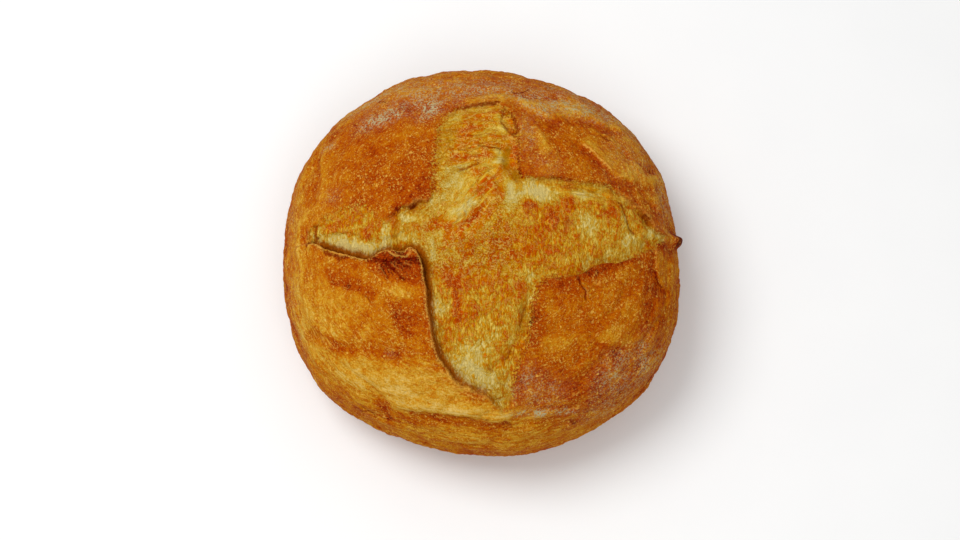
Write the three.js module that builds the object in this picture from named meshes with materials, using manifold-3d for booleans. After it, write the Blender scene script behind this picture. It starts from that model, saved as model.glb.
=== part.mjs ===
// A round hearth-baked loaf, scored with a cross that has opened in the oven.
// The loaf is one solid: a domed crust on a flat base, four crust quarters whose edges curl up a
// little, and between them the crumb that has risen through the cross and stands lower than the crust.
// Millimetres, +Z up, origin under the middle of the base, -Y towards the front.
//
// Places on the skin are given as [right, back]: millimetres along the skin from the crown.
import * as THREE from "three";
import { mergeVertices } from "three/addons/utils/BufferGeometryUtils.js";
import Module from "manifold-3d";

// Driving dimensions of the loaf.
const RADIUS = 106.7; // mean radius at the widest level
const HEIGHT = 95; // base to crown
const WIDEST_AT = 34; // height of the widest level
const BASE_RADIUS = 73; // the flat that the loaf stands on
const DOME_POWER = 2.25; // 2 is an ellipse, more is squarer

// Uneven hand shaping of the outline: [share of the radius, waves round the loaf, turn in radians].
const OUTLINE_WAVES = [
  [0.0024, 1, -2.81],
  [0.0134, 2, 0.92],
  [0.0061, 3, 1.83],
  [0.0153, 4, -3.01],
  [0.0021, 5, 2.41],
  [0.0081, 6, 2.57],
];
// Low swellings of the skin: [height, waves to the right, waves to the back, turn]; waves are in
// radians per mm.
const SKIN_WAVES = [
  [0.6, 0.052, 0.031, 0.4],
  [0.5, -0.034, 0.061, 2.1],
  [0.4, 0.083, -0.047, 4.0],
];
const SMOOTH_ABOVE_BASE = 20; // the swellings fade out over this height above the base

// The opened cross.
const EDGE_RISE = 1.8; // how far the crust curls up beside the cross
const EDGE_REACH = 8; // how far from the cross that curl is felt
const CRUMB_DROP = 4.2; // how far the crumb stands below the crust
const CRUMB_SWELL = 3.2; // how far it has risen again at the crossing
const SWELL_REACH = 48; // radius of that rise
const CUT_FLOOR = 52; // the cutter's lowest level, just under the ends of the arms
const CUT_POINTS = 120; // corners of the cutter's outline

// The edge of the cross.
const CROSS_EDGE = [
  [-14, 71], [-21, 62], [-23, 48], [-25, 22], [-31, 14], // back arm, left edge
  [-46, 14.5], [-65, 14], [-85, 10], [-97, 6], // left arm, back edge
  [-99, -2], [-85, -9], [-72, -15], [-56, -18], [-44, -14], [-34, -14], // left arm, front edge
  [-30.5, -25], [-28.5, -40], [-25, -59], [-18, -76], [-3, -87], [6, -95], // front arm, left edge
  [14, -97], [16, -85], [20.5, -69], [25, -50], [28, -32], // front arm, right edge
  [38, -27], [50, -25], [62, -18], [78, -13], [94, -6], [105, 1], // right arm, front edge
  [100, 6], [90, 14], [74, 22], [62, 26.5], [42, 26.5], [24, 27], // right arm, back edge
  [18.5, 38], [18.3, 57], [12, 70], [0, 73], // back arm, right edge
];

// The burnt tip where the right arm tears out over the side.
const TIP_AT = [116, 4];
const TIP_DEPTH = 2.5;
const TIP_RADII = [5, 6, 4];

// Fineness of the mesh.
const TURNS = 96; // divisions round the loaf
const RING_STEP = 5.6; // along the skin
const CORE_TURNS = 72;
const CORE_RING_STEP = 6;
const CORE_LOWEST = 140; // the crumb core ends at this distance along the skin, inside the loaf
const TABLE_STEPS = 400;

// The upright section from the crown out to the widest level and down to the rim of the base.
function sectionCurve() {
  const points = [];
  for (let i = 0; i <= TABLE_STEPS; i++) {
    const turn = ((i / TABLE_STEPS) * Math.PI) / 2;
    const out = i === 0 ? 0 : Math.sin(turn) ** (2 / DOME_POWER);
    const up = i === TABLE_STEPS ? 0 : Math.cos(turn) ** (2 / DOME_POWER);
    points.push(new THREE.Vector2(RADIUS * out, WIDEST_AT + (HEIGHT - WIDEST_AT) * up));
  }
  for (let i = 1; i <= TABLE_STEPS; i++) {
    const turn = ((i / TABLE_STEPS) * Math.PI) / 2;
    const out = BASE_RADIUS + (RADIUS - BASE_RADIUS) * Math.cos(turn);
    points.push(new THREE.Vector2(out, i === TABLE_STEPS ? 0 : WIDEST_AT * (1 - Math.sin(turn))));
  }
  return points;
}

const section = sectionCurve();
const travelled = [0]; // distance along the skin to each point of the section
for (let i = 1; i < section.length; i++) {
  travelled.push(travelled[i - 1] + section[i].distanceTo(section[i - 1]));
}
const RIM_DISTANCE = travelled.at(-1);

// Radius and height of the section at a distance along the skin.
function sectionAt(distance) {
  const i = Math.max(1, travelled.findIndex((d) => d >= distance));
  if (distance >= RIM_DISTANCE) return section.at(-1).clone();
  const share = (distance - travelled[i - 1]) / (travelled[i] - travelled[i - 1]);
  return section[i - 1].clone().lerp(section[i], share);
}

// The section's outward direction there. Just past the crown the section's other half is its mirror.
function outwardAt(distance) {
  const before = sectionAt(Math.abs(distance - 1));
  if (distance < 1) before.x *= -1;
  const along = sectionAt(distance + 1).sub(before).normalize();
  return new THREE.Vector2(-along.y, along.x);
}

// How much wider than its mean the loaf is, seen from the crown in the direction of angle.
function outlineShare(angle) {
  return OUTLINE_WAVES.reduce(
    (sum, [share, waves, turn]) => sum + share * Math.cos(waves * angle + turn),
    0,
  );
}

// The point at [right, back] on the skin, raised square to it.
function skinPoint(right, back, raised = 0) {
  const distance = Math.hypot(right, back);
  const angle = Math.atan2(back, right);
  const here = sectionAt(distance).addScaledVector(outwardAt(distance), raised);
  const radius = here.x * (1 + outlineShare(angle) * (here.x / RADIUS) ** 2);
  return new THREE.Vector3(radius * Math.cos(angle), radius * Math.sin(angle), here.y);
}

const crossCurve = new THREE.CatmullRomCurve3(
  CROSS_EDGE.map(([right, back]) => new THREE.Vector3(right, back, 0)),
  true,
  "centripetal",
);
const crossOutline = crossCurve.getSpacedPoints(CUT_POINTS).slice(0, CUT_POINTS);

// The crust: low swellings, and the curl beside the cross.
function crustRise(right, back) {
  const place = new THREE.Vector3(right, back, 0);
  const toEdge = Math.min(...crossOutline.map((point) => point.distanceTo(place)));
  const curl = EDGE_RISE * Math.exp(-((toEdge / EDGE_REACH) ** 2));
  const swell = SKIN_WAVES.reduce(
    (sum, [height, x, y, turn]) => sum + height * Math.sin(x * right + y * back + turn),
    0,
  );
  const height = sectionAt(place.length()).y;
  return (curl + swell) * Math.min(1, height / SMOOTH_ABOVE_BASE);
}

// The crumb: below the crust, and highest at the crossing.
function crumbRise(right, back) {
  const swell = CRUMB_SWELL * Math.exp(-((Math.hypot(right, back) / SWELL_REACH) ** 2));
  return swell - CRUMB_DROP;
}

// A turned body that follows the skin from the crown down to a distance along it, with a flat bottom.
// LatheGeometry lists its points turn by turn, each turn from the bottom's middle up to the crown.
function skinBody(lowest, ringStep, turns, rise) {
  const rings = Math.round(lowest / ringStep);
  const distances = Array.from({ length: rings + 1 }, (_, i) => lowest * (1 - i / rings));
  const profile = distances.map((distance) => sectionAt(distance));
  profile.unshift(new THREE.Vector2(0, profile[0].y));
  const geometry = new THREE.LatheGeometry(profile, turns).rotateX(Math.PI / 2);
  const positions = geometry.attributes.position;
  for (let i = 0; i < positions.count; i++) {
    const ring = (i % profile.length) - 1;
    if (ring < 0) continue;
    const angle = Math.atan2(positions.getY(i), positions.getX(i));
    const right = distances[ring] * Math.cos(angle);
    const back = distances[ring] * Math.sin(angle);
    const place = skinPoint(right, back, rise(right, back));
    if (ring === 0) place.z = profile[0].y;
    positions.setXYZ(i, place.x, place.y, place.z);
  }
  return geometry;
}

// The upright cutter that opens the cross in the crust.
function crossCutter() {
  const plan = crossOutline.map((point) => skinPoint(point.x, point.y));
  const shape = new THREE.Shape(plan.map((point) => new THREE.Vector2(point.x, point.y)));
  const depth = 2 * HEIGHT - CUT_FLOOR;
  return new THREE.ExtrudeGeometry(shape, { depth, bevelEnabled: false }).translate(0, 0, CUT_FLOOR);
}

function burntTip() {
  const centre = skinPoint(...TIP_AT, -TIP_DEPTH);
  return new THREE.SphereGeometry(1, 14, 10).scale(...TIP_RADII).translate(...centre);
}

const wasm = await Module();
wasm.setup();

// A solid from a closed geometry, whose collapsed triangles at the axis are left out.
function toSolid(geometry) {
  geometry.deleteAttribute("normal");
  geometry.deleteAttribute("uv");
  const merged = mergeVertices(geometry);
  const corners = merged.index.array;
  const kept = [];
  for (let i = 0; i < corners.length; i += 3) {
    const [a, b, c] = corners.slice(i, i + 3);
    if (a !== b && b !== c && c !== a) kept.push(a, b, c);
  }
  return new wasm.Manifold(
    new wasm.Mesh({
      numProp: 3,
      vertProperties: new Float32Array(merged.attributes.position.array),
      triVerts: new Uint32Array(kept),
    }),
  );
}

function toGeometry(solid) {
  const mesh = solid.getMesh();
  const geometry = new THREE.BufferGeometry();
  geometry.setAttribute("position", new THREE.BufferAttribute(mesh.vertProperties, 3));
  geometry.setIndex(new THREE.BufferAttribute(mesh.triVerts, 1));
  geometry.computeVertexNormals();
  return geometry;
}

// The crust with the cross cut out of it, filled again with crumb, and centred over the origin.
function loafGeometry() {
  const crust = toSolid(skinBody(RIM_DISTANCE, RING_STEP, TURNS, crustRise));
  const crumb = toSolid(skinBody(CORE_LOWEST, CORE_RING_STEP, CORE_TURNS, crumbRise));
  const loaf = crust.subtract(toSolid(crossCutter())).add(crumb).add(toSolid(burntTip()));
  const geometry = toGeometry(loaf);
  geometry.computeBoundingBox();
  const middle = geometry.boundingBox.getCenter(new THREE.Vector3());
  return geometry.translate(-middle.x, -middle.y, 0);
}

const bakedCrust = new THREE.MeshStandardMaterial({ color: 0xb06a1c, roughness: 0.62, metalness: 0 });

const loaf = new THREE.Mesh(loafGeometry(), bakedCrust);
loaf.name = "loaf";

const part = new THREE.Group();
part.name = "sourdough_loaf";
part.add(loaf);

export default part;
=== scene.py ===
"""A round hearth-baked loaf, scored with a cross that has opened in the oven.

The loaf is one mesh. Its skin is laid out flat, as millimetres [right, back] along the skin from the
crown, and everything on it is placed in that plan: the edge of the cross, folds, cracks and patches of
browning. The plan is then wrapped onto the dome and pushed in and out along it.
"""
import itertools
import math

import bpy
import numpy as np
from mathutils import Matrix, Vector


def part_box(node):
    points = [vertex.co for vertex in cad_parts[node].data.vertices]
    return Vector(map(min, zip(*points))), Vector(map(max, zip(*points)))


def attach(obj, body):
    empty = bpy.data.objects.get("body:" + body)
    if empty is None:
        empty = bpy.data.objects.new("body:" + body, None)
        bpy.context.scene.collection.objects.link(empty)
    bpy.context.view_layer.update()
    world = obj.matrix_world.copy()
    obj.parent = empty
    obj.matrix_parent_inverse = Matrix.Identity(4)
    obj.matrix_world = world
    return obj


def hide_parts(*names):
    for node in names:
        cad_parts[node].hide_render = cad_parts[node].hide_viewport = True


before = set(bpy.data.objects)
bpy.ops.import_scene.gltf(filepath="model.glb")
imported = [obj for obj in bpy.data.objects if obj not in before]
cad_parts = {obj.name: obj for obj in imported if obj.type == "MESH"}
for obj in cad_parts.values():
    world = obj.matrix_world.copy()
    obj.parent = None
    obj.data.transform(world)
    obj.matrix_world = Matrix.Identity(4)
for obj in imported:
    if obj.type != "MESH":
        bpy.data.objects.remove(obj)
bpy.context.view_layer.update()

MM = 0.001

# ---------------------------------------------------------------- the loaf's sizes, in millimetres
RADIUS = 106.6  # mean radius at the widest level
HEIGHT = 95.0  # base to crown
WIDEST_AT = 34.0  # height of the widest level
BASE_RADIUS = 73.0  # the flat that the loaf stands on
DOME_POWER = 2.25  # 2 is an ellipse, more is squarer

# Uneven hand shaping of the outline: share of the radius, waves round the loaf, turn in radians.
OUTLINE_WAVES = [
    (0.0027, 1, -2.81),
    (0.0129, 2, 0.97),
    (0.0061, 3, 1.83),
    (0.0153, 4, -3.01),
    (0.0021, 5, 2.4),
    (0.0081, 6, 2.57),
]

# The mesh: a square grid wrapped onto the skin, finest on the part that is seen from above.
GRID = 301  # points along each side of the square; one less than this divides by 4
FINE_SHARE = 0.76  # share of the grid that covers the skin out to FINE_REACH
FINE_REACH = 125.0
BASE_GRID = (GRID - 1) // 4 + 1  # points along each side of the underside's own square
BASE_RINGS = (0.97, 0.93)  # radii of the rings between the two grids, as shares of the base's radius

# ---------------------------------------------------------------- the cross
# Its edge, anticlockwise from the back arm's end: right, back, drop, lip, lean, scorch.
# drop is how far the crumb stands below the skin there, lip how far the crust curls up, lean how far
# that lip hangs over the crumb, all in mm; scorch is how dark the crust's rim is, 0 to 1.
CROSS_EDGE = [
    # back arm, end and left side
    (0, 73, 1.0, 0.8, 0.5, 0.5),
    (-8, 71, 1.0, 0.9, 0.5, 0.4),
    (-14, 69.5, 1.0, 0.6, 0.3, 0.3),
    (-19, 65, 1.0, 0.5, 0.1, 0.3),
    (-22.3, 56, 1.1, 0.6, 0.0, 0.3),
    (-23, 47.5, 1.0, 0.7, 0.0, 0.3),
    (-24.4, 37.5, 1.0, 0.6, 0.0, 0.3),
    (-25, 27.5, 1.0, 0.5, 0.0, 0.3),
    (-25.5, 18.5, 1.1, 0.5, 0.1, 0.3),
    (-28, 13.5, 1.3, 0.5, 0.6, 0.5),
    # left arm, back side, with a tongue of crust reaching into it
    (-33.5, 13.5, 3.0, 0.6, 0.7, 0.6),
    (-37, 11.0, 3.4, 0.6, 0.8, 0.7),
    (-41, 11.2, 2.6, 0.5, 0.3, 0.5),
    (-46, 7.5, 1.0, 0.5, 0.2, 0.2),
    (-52.5, 3.0, 1.0, 0.4, 0.1, 0.2),
    (-56.5, 9.0, 1.0, 0.3, 0.0, 0.2),
    (-65, 13.2, 1.0, 0.2, 0.0, 0.1),
    (-75, 11.5, 1.0, 0.2, 0.0, 0.1),
    (-82, 10.2, 1.0, 0.2, 0.0, 0.1),
    (-90, 6.8, 1.0, 0.3, 0.2, 0.2),
    # left arm, end and front side
    (-95.5, 4.0, 1.0, 0.5, 0.6, 0.2),
    (-96.5, -1.5, 2.4, 0.5, 0.6, 0.4),
    (-91, -4.2, 4.2, 0.9, 1.3, 0.5),
    (-84, -9, 6.7, 1.4, 2.2, 0.8),
    (-75, -13.2, 7.2, 1.5, 2.4, 0.8),
    (-67, -15.6, 7.2, 1.5, 2.2, 0.7),
    (-59, -17.4, 6.7, 1.3, 1.8, 0.8),
    (-52, -14.5, 6.1, 1.6, 1.6, 1.0),
    (-47, -13.2, 6.4, 1.4, 1.6, 1.0),
    (-41, -14.2, 6.4, 1.2, 1.4, 1.0),
    (-35.5, -12.6, 6.4, 1.5, 1.6, 1.0),
    # front arm, left side
    (-31.5, -19, 6.6, 1.4, 1.5, 1.0),
    (-29.5, -28, 6.6, 1.4, 1.4, 1.0),
    (-28.6, -37, 5.8, 1.3, 1.2, 1.0),
    (-27.6, -46, 5.2, 1.2, 1.0, 0.9),
    (-26.3, -55, 5.0, 1.0, 0.9, 0.6),
    (-24.3, -65, 5.0, 0.9, 1.1, 0.3),
    (-20.5, -74.5, 5.0, 0.8, 1.2, 0.2),
    (-14.5, -82, 4.6, 0.7, 1.1, 0.2),
    (-7, -86.5, 4.0, 0.6, 0.9, 0.2),
    (1, -89.5, 3.8, 0.5, 0.8, 0.2),
    (6.5, -94.5, 2.9, 0.4, 0.5, 0.2),
    (12.5, -97.5, 2.3, 0.3, 0.3, 0.2),
    # front arm, right side
    (15.8, -93, 2.9, 0.4, 0.1, 0.5),
    (16.2, -84, 3.5, 0.6, 0.1, 0.7),
    (18.5, -74.5, 4.1, 0.8, 0.1, 0.8),
    (22, -64, 4.3, 0.8, 0.1, 0.8),
    (24.5, -54, 4.3, 0.8, 0.1, 0.8),
    (26, -42, 4.3, 0.7, 0.1, 0.8),
    (28.2, -33, 3.8, 0.5, 0.1, 0.8),
    # right arm, front side
    (33, -27.6, 2.9, 0.4, 0.1, 0.7),
    (41, -26.8, 2.6, 0.4, 0.1, 0.6),
    (49, -25.4, 3.0, 0.7, 0.3, 0.6),
    (55, -21.5, 3.4, 0.9, 0.3, 0.5),
    (62, -18.2, 3.4, 0.9, 0.3, 0.5),
    (71, -17.2, 3.0, 0.7, 0.3, 0.6),
    (80, -12.8, 2.9, 0.5, 0.2, 0.5),
    (90, -8, 2.6, 0.4, 0.2, 0.4),
    (99, -3, 2.0, 0.4, 0.2, 0.4),
    # right arm, tip and back side
    (105, 2.5, 2.0, 0.5, 0.3, 0.6),
    (98, 6.2, 1.6, 0.7, 0.6, 0.7),
    (92.5, 12.0, 2.3, 0.9, 0.9, 0.9),
    (84, 17.5, 2.3, 0.7, 0.6, 0.5),
    (74.5, 22, 2.3, 0.6, 0.5, 0.3),
    (68, 25.6, 2.0, 0.6, 0.3, 0.3),
    (58, 26, 2.0, 0.7, 0.3, 0.2),
    (46, 25.6, 2.0, 0.8, 0.4, 0.3),
    (37, 26.8, 2.0, 0.8, 0.4, 0.3),
    (27, 26.4, 2.4, 0.8, 0.3, 0.3),
    # back arm, right side
    (20, 27.5, 2.4, 0.7, 0.2, 0.5),
    (18.8, 37, 1.1, 0.7, 0.0, 0.5),
    (18.8, 48, 1.0, 0.6, 0.0, 0.5),
    (17.8, 60, 1.2, 0.6, 0.1, 0.6),
    (13, 70.5, 1.0, 0.6, 0.2, 0.4),
    (8, 73.8, 1.0, 0.7, 0.4, 0.5),
]
WALL = 1.7  # half width of the torn step between crust and crumb, mm
CRUMB_ROLL = 7.0  # the crumb rolls up from the step over about this distance
LIP_ROLL = 6.0  # and the crust falls back to the dome over this one

# How far the crumb's middle stands above or below the dome: right, back, two radii, turn, height.
CRUMB_SWELLS = [
    (-2, -4, 34, 30, 0, 1.6), (46, 0, 34, 16, 0, 0.9), (0, 34, 15, 26, 0, 0.5),
    (-70, 1, 24, 9, -8, -1.0), (-66, 5, 13, 6, 0, 1.1), (0, -62, 16, 24, 0, -1.0),
    (8, -84, 12, 12, 0, -1.4), (-19, -50, 5, 26, -8, -1.2), (24, 20, 12, 5, -10, -1.6),
    (50, 21, 18, 4, 0, -1.2), (-36, 3, 7, 7, 0, 0.8),
]

# ---------------------------------------------------------------- folds and cracks
# Soft folds in the skin: depth (a ridge where it is negative) and width in mm, then the line. A fold gets
# painted shade, a darker colour, and a ridge a painted highlight, a paler colour.
FOLDS = [
    (1.5, 2.2, [(-44, 10), (-45.5, 4), (-45, -3), (-44.5, -12)]),
    (0.7, 1.4, [(-53, 1), (-54, -6), (-54, -12)]),
    (0.9, 2.0, [(-21, 7), (-24, 3), (-21, -1), (-12, -1.5), (-8, 1), (-1, 6)]),
    (0.8, 1.6, [(-20, -22), (-17, -30), (-14, -37), (-12, -50)]),
    (1.2, 2.2, [(22, -42), (20.5, -52), (18.5, -60), (15, -66), (11, -71), (4, -76)]),
    (1.9, 2.6, [(11, 45), (12, 38), (14.5, 31), (19, 26)]),
    (1.0, 2.0, [(84, 19), (78, 14), (79, 7), (83, 1)]),
    (0.8, 1.6, [(87, 14.5), (91, 12), (94, 8)]),
    (1.1, 1.5, [(-15, 44), (-4, 46), (8, 45)]),
    (1.1, 1.5, [(-15, 38), (-3, 40.5), (9, 38.5)]),
    (1.0, 1.4, [(-17, 33), (-6, 34.5), (6, 33)]),
    (0.8, 1.4, [(-12, 54), (-2, 56), (8, 55)]),
    (0.8, 1.4, [(-10, 61), (-2, 63), (6, 62)]),
    (-0.7, 1.6, [(8.6, 67), (9.6, 60), (12.4, 54), (16, 50)]),
    (0.6, 1.3, [(42, 23), (52, 22.5), (62, 21), (72, 17)]),
    (0.5, 1.2, [(46, 19.5), (56, 19.5), (66, 17.5)]),
    (-0.9, 2.2, [(-83, -9), (-76, -12.5), (-68, -14.8), (-60, -16.4)]),
    (0.4, 2.2, [(-80, -27), (-72, -29), (-64, -31)]),
    (-0.8, 4.0, [(-50, -34), (-42, -35), (-38, -36)]),
    (1.0, 3.2, [(-98, -52), (-88, -55), (-76, -60), (-68, -62)]),
    (0.9, 3.0, [(-62, -60), (-50, -66), (-44, -68)]),
    (0.5, 3.0, [(-61, -86), (-57, -96), (-56, -106)]),
    (0.5, 2.6, [(-34, -102), (-20, -104), (0, -106), (15, -107)]),
    (-0.9, 3.2, [(-50, -96), (-34, -97), (-18, -98), (-2, -99)]),
    (-0.9, 2.2, [(-8, 75), (4, 77.5), (14, 78.5), (20, 77), (24, 73), (29, 69.5), (35, 66)]),
    (-0.8, 2.2, [(35, 66), (44, 68), (54, 70), (62, 68.5), (76, 65)]),
    (0.4, 2.4, [(36, 62), (46, 64), (56, 65), (68, 61)]),
    (0.9, 2.4, [(23, 81), (32, 82), (42, 84)]),
    (-0.7, 1.4, [(28, 58), (32, 50), (34, 42)]),
    (0.5, 1.6, [(37, 60), (38, 50), (41, 42), (40, 34)]),
    (-0.7, 1.6, [(60, 60), (70, 56), (80, 50), (88, 42)]),
    (0.8, 1.8, [(78, 52), (84, 46), (92, 44), (102, 46)]),
    (-0.8, 1.8, [(82, 40), (90, 36), (98, 38), (108, 44)]),
    (0.7, 1.6, [(76, 30), (84, 31), (92, 30), (100, 32)]),
    (-0.6, 1.4, [(84, 24), (92, 24), (100, 26)]),
    (0.9, 2.6, [(88, 26), (97, 19), (106, 13), (116, 10)]),
    (-1.3, 2.4, [(88, 2), (96, 3), (104, 4), (113, 4.5), (120, 5)]),
    (0.8, 2.2, [(90, -4), (100, -3), (112, -3)]),
    (1.0, 3.0, [(120, -20), (122, -45), (114, -70), (98, -92)]),
    (1.0, 3.0, [(-122, 15), (-124, -10), (-120, -40), (-108, -66)]),
]

# Ledges: how far the skin on a line's right stands above that on its left, the slope's half width, both in
# mm, then the line. The lower side gets painted shade, a darker colour, and the higher side a painted
# highlight.
LEDGES = [
    (0.9, 0.9, [(-84, -22), (-79, -27.5), (-70, -31), (-62, -34), (-57, -38.5)]),
    (1.3, 0.9, [(-50, -38), (-46.5, -45), (-45.5, -51), (-41, -58)]),
    (-1.7, 1.0, [(53, 50), (60, 42), (66, 36), (72, 32), (82, 30)]),
    (-1.1, 1.2, [(20, 78), (24, 73), (30, 69), (35, 65.5), (42, 67), (52, 69.5), (62, 68), (78, 64)]),
    (-1.4, 1.1, [(-40, -99.5), (-25, -101.5), (-12, -103), (2, -104), (14, -105)]),
    (-1.3, 1.0, [(95, -4), (95.5, -12), (96, -20), (98, -25), (104, -27)]),
    (1.1, 1.0, [(-102, 8), (-101, -4), (-98, -16), (-101, -30)]),
    (-1.1, 1.2, [(-92, 56), (-90, 46), (-88, 34), (-90, 24)]),
    (0.6, 1.2, [(76, 48), (84, 44), (94, 41), (102, 44)]),
    (-1.1, 1.2, [(60, -58), (68, -60), (76, -58), (84, -56)]),
]

# Thin lines: amount, half width in mm, then the line. The amount says how strong a line's colour is, up
# to 1, and how high it stands: amount times RISE mm, which is a groove where it is negative.
CRACK_RISE = -0.35
FLAKE_RISE = 0.8
FAR = 9.0  # the distance, in half widths, of a point with no line near it

# Cracks.
CRACKS = [
    (0.6, 0.6, [(-12, 42), (-6, 43)]),
    (0.8, 0.65, [(-2, 44.2), (4, 43.4), (10, 42.6)]),
    (0.7, 0.9, [(-11.5, 29.6), (-9, 30.6), (-6, 31.4), (-2, 33)]),
    (0.4, 0.4, [(3, 28.5), (6.5, 31.5)]),
    (0.4, 0.35, [(-10, 36), (-4, 37.4), (3, 36.6)]),
    (0.4, 0.35, [(-6, 50), (0, 51.6), (6, 50.6)]),
    (0.8, 1.0, [(12, 70), (15.4, 66), (17.6, 60), (18.6, 53)]),
    (0.5, 0.8, [(18.6, 53), (18.8, 44), (19, 36), (19.5, 29)]),
    (0.8, 1.1, [(10, 60), (13.2, 55.4), (17, 50.5)]),
    (0.7, 0.6, [(9, 68), (11, 66.5), (10, 62)]),
    (0.9, 1.1, [(-38, 10.6), (-36, 11.2), (-34.4, 12.6)]),
    (0.6, 0.4, [(36, 27.2), (41, 26.6), (46, 26)]),
    (0.5, 0.35, [(58, 26.8), (65, 26.4), (70, 24.4), (74, 21.6)]),
    (0.35, 0.4, [(44, 22.5), (54, 22.4), (64, 20.6)]),
    (0.3, 0.4, [(47, 19), (57, 18.8), (66, 16.6)]),
    (0.6, 0.4, [(41.2, 1.5), (41.8, -1.5), (42.2, -4)]),
    (0.4, 0.3, [(44, 3.5), (46, 1.5), (47.5, 0)]),
    (0.4, 0.3, [(22.6, -2.5), (23, -6.5)]),
    (1.0, 0.5, [(48.6, -27), (50, -30), (52, -33), (52.8, -37.5)]),
    (0.6, 0.35, [(73, -16.5), (73.4, -21)]),
    (1.2, 0.6, [(95, -18), (96, -21), (97, -24), (100, -26)]),
    (1.2, 0.6, [(-51.8, -20.5), (-50, -23.5), (-48.2, -27)]),
    (1.4, 0.8, [(-48.6, -18.6), (-46.4, -22), (-43, -25), (-39.5, -28)]),
    (1.3, 0.7, [(-45, -17.6), (-41, -20), (-36.5, -23)]),
    (1.2, 0.9, [(-60, -18.2), (-52, -18.2), (-46, -18.8), (-40, -17.8), (-33, -18.4)]),
    (0.9, 0.6, [(-84, -11.4), (-77, -15), (-69, -17.2), (-61, -18.4)]),
    (1.2, 0.8, [(-42.5, -12.6), (-40, -14.8), (-37.6, -15.6)]),
    (0.9, 0.6, [(17, 83.5), (21, 84), (24, 86), (26.5, 88.5)]),
    (0.5, 0.4, [(23, 79.8), (28, 80.6), (34, 81.6)]),
    (0.9, 0.8, [(-58, 82.5), (-56, 82), (-54, 80.6)]),
    (0.8, 0.5, [(64, 57.4), (67, 56), (69.6, 54.8)]),
    (0.8, 0.6, [(-14, 69), (-6, 71.4), (0, 73), (6, 73.4), (10, 74.4)]),
    (0.8, 0.5, [(-78, -99.5), (-73, -101), (-68, -100.8), (-65, -104.5)]),
    (0.6, 0.45, [(-33, -99.5), (-29, -101), (-25, -101.3)]),
    (0.6, 0.55, [(-20, -102), (-12, -103), (-4, -103.4), (3, -103)]),
    (0.6, 1.0, [(12, -104), (16.5, -107.5)]),
    (0.8, 1.2, [(50.5, -103.5), (54.5, -107.5)]),
    (1.3, 1.2, [(-91.4, 6.4), (-91.6, 3), (-92.4, 0), (-94.4, -2), (-98, -4)]),
    (0.4, 0.4, [(-96, -1.6), (-100, -3), (-104, -3.4)]),
    (0.5, 0.35, [(-61, -35), (-58.5, -36.5), (-57, -39)]),
    (0.7, 0.8, [(73, 17.5), (77, 12.5), (79, 8), (80.5, 3.5), (83, 1)]),
    (0.7, 1.1, [(90.5, 13.5), (92.6, 12), (94, 9.5)]),
    (0.4, 0.5, [(94, 9), (96, 5.5), (98, 3)]),
    (0.5, 0.6, [(22, -43), (20.4, -50), (19.4, -56)]),
    (0.6, 0.7, [(15.5, -66), (12.5, -70)]),
    (0.5, 0.6, [(3, -75.5), (5.4, -77)]),
    (0.4, 0.5, [(8.6, -83), (11.4, -84)]),
    (0.5, 0.5, [(1.6, -88), (5, -87.4)]),
    (0.5, 0.5, [(8, -92.4), (11, -91)]),
    (0.4, 0.4, [(-27.4, -60), (-25.4, -68), (-20, -78)]),
]

# Raised flakes of crust.
FLAKES = [
    (0.7, 0.45, [(-55.5, -14.6), (-53, -12.6), (-50, -12.4), (-47, -15), (-43.5, -17), (-39, -17.2)]),
    (0.6, 0.4, [(-38.6, -17.2), (-36.4, -15), (-36.2, -12), (-34.6, -11.6), (-33.4, -15)]),
    (0.35, 0.35, [(-52.4, -21), (-50.6, -23), (-49, -26)]),
    (0.35, 0.35, [(-46, -20), (-43.6, -22), (-41, -23.2)]),
    (0.4, 0.35, [(-42.8, -18), (-38.4, -19.8), (-35.4, -22)]),
    (0.7, 0.45, [(-80, -12.2), (-74, -15), (-67, -16.8), (-60, -17.4)]),
    (0.5, 0.45, [(-104, -1), (-100, -3), (-96.4, -3.4), (-92.6, -5.4)]),
    (0.4, 0.4, [(-105, -6), (-102, -4.6), (-99.6, -4.8)]),
    (0.4, 0.4, [(-99, -9), (-97.6, -5.6), (-98.4, -2)]),
    (0.4, 0.45, [(-48, -33), (-45, -34.4), (-43, -36.6)]),
    (0.4, 0.4, [(-40, 51), (-39.8, 46), (-38.6, 41.5)]),
    (0.3, 0.45, [(-33, 47.4), (-29.6, 48.4)]),
    (0.8, 0.5, [(54, 48.6), (58, 45.4), (62, 40.6), (68, 35)]),
    (0.6, 0.4, [(71, 31), (75, 32.2), (79, 33.6)]),
    (0.5, 0.4, [(78, 32), (78.6, 37), (78, 42)]),
    (0.4, 0.4, [(72.6, 26.4), (73.6, 22.4), (78, 19.6), (86, 17)]),
    (0.4, 0.4, [(96, -6), (95.4, -12), (96, -16)]),
    (0.4, 0.4, [(99, -38.6), (102, -38)]),
    (0.5, 0.5, [(106, -54.6), (111, -55), (116, -56)]),
    (0.6, 0.4, [(-18, -80.6), (-15, -82.6), (-11.6, -83.4)]),
    (0.6, 0.4, [(-13, -85.4), (-9.6, -87), (-6, -87.6)]),
    (0.6, 0.4, [(-8, -89.4), (-4, -91), (0.6, -91.4)]),
    (0.6, 0.4, [(-22, -76.4), (-19.6, -79)]),
    (0.4, 0.45, [(52, -32), (53.4, -35.6)]),
    (0.4, 0.6, [(57, -28.6), (59.6, -30)]),
    (0.4, 0.35, [(-14, 14), (-9, 13), (-8, 8), (-12, 2), (-18, -1), (-24, 2), (-25, 8), (-22, 14)]),
    (0.4, 0.4, [(72, 12), (76, 7), (79, 2)]),
]

# The burnt knob where the right arm tears out over the side: right, back, radius and height.
TIP = (116.0, 4.6, 4.6, 3.2)

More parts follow.
